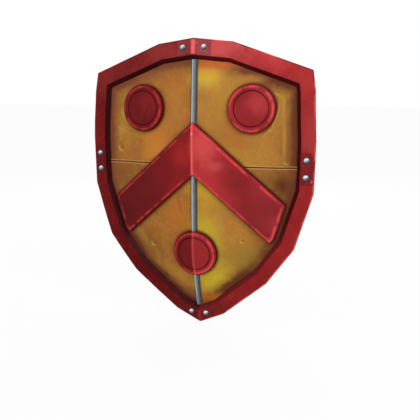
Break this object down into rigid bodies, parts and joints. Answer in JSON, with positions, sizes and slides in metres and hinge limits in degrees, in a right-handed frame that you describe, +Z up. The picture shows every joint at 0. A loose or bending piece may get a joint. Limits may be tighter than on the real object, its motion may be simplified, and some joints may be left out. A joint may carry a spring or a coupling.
{
  "type": "heater shield",
  "caption": "Folded heater shield: red steel rim, gilded plates, chevron and roundels on boards, with arm pad, arm strap, hand grip and carrying rings behind.",
  "frame": {"origin": "on the crown of the arm pad at the ridge line, where the forearm holds the shield", "axes": "+Z up towards the top edge, -Y out of the front, +X to the right as the front is seen"},
  "size_m": [0.588, 0.1455, 0.7199],
  "materials": {
    "rim_red": "satin, worn bright on the edges",
    "charge_red": "satin, worn on the edges",
    "gilded": "satin, brown towards the rim",
    "steel": "satin",
    "rivet_steel": "polished",
    "board_wood": "oiled",
    "strap_leather": "satin",
    "pad_leather": "matt"
  },
  "bodies": {
    "shield": {"rim_upper_right": "rim_red", "rim_upper_left": "rim_red", "rim_lower_right": "rim_red", "rim_lower_left": "rim_red", "joint_cover_top": "rim_red", "joint_cover_point": "rim_red", "joint_cover_right": "rim_red", "joint_cover_left": "rim_red", "rim_rivet_top_right": "rivet_steel", "rim_rivet_top_left": "rivet_steel", "rim_rivet_side_upper_right": "rivet_steel", "rim_rivet_side_upper_left": "rivet_steel", "rim_rivet_side_lower_right": "rivet_steel", "rim_rivet_side_lower_left": "rivet_steel", "rim_rivet_bottom_right": "rivet_steel", "rim_rivet_bottom_left": "rivet_steel", "field_plate_upper_right": "gilded", "field_plate_upper_left": "gilded", "field_plate_lower_right": "gilded", "field_plate_lower_left": "gilded", "ridge_strip": "steel", "chevron": "charge_red", "roundel_upper_right": "charge_red", "roundel_upper_left": "charge_red", "roundel_lower": "charge_red", "rove_chevron_1_right": "steel", "rove_chevron_1_left": "steel", "rove_chevron_2_right": "steel", "rove_chevron_2_left": "steel", "rove_roundel_right": "steel", "rove_roundel_left": "steel", "rove_roundel_lower": "steel", "plank_inner_right": "board_wood", "plank_outer_right": "board_wood", "plank_inner_left": "board_wood", "plank_outer_left": "board_wood", "arm_pad": "pad_leather", "arm_strap": "strap_leather", "arm_strap_plate_upper": "steel", "arm_strap_plate_lower": "steel", "arm_strap_rivet_1": "rivet_steel", "arm_strap_rivet_2": "rivet_steel", "arm_strap_rivet_3": "rivet_steel", "arm_strap_rivet_4": "rivet_steel", "hand_grip": "strap_leather", "hand_grip_plate_upper": "steel", "hand_grip_plate_lower": "steel", "hand_grip_rivet_1": "rivet_steel", "hand_grip_rivet_2": "rivet_steel", "hand_grip_rivet_3": "rivet_steel", "hand_grip_rivet_4": "rivet_steel", "hand_grip_sleeve": "pad_leather", "ring_eye_right": "steel", "ring_eye_left": "steel"},
    "ring_right": {"ring_right": "steel"},
    "ring_left": {"ring_left": "steel"}
  },
  "joints": [
    {"name": "ring_right_swing", "type": "hinge", "parent": "shield", "child": "ring_right", "pos_m": [0.196, 0.0145, 0.118], "axis": [0.9926, 0.1215, 0], "range_deg": [-13, 193]},
    {"name": "ring_left_swing", "type": "hinge", "parent": "shield", "child": "ring_left", "pos_m": [-0.196, 0.0145, 0.118], "axis": [0.9926, -0.1215, 0], "range_deg": [-13, 193]}
  ]
}
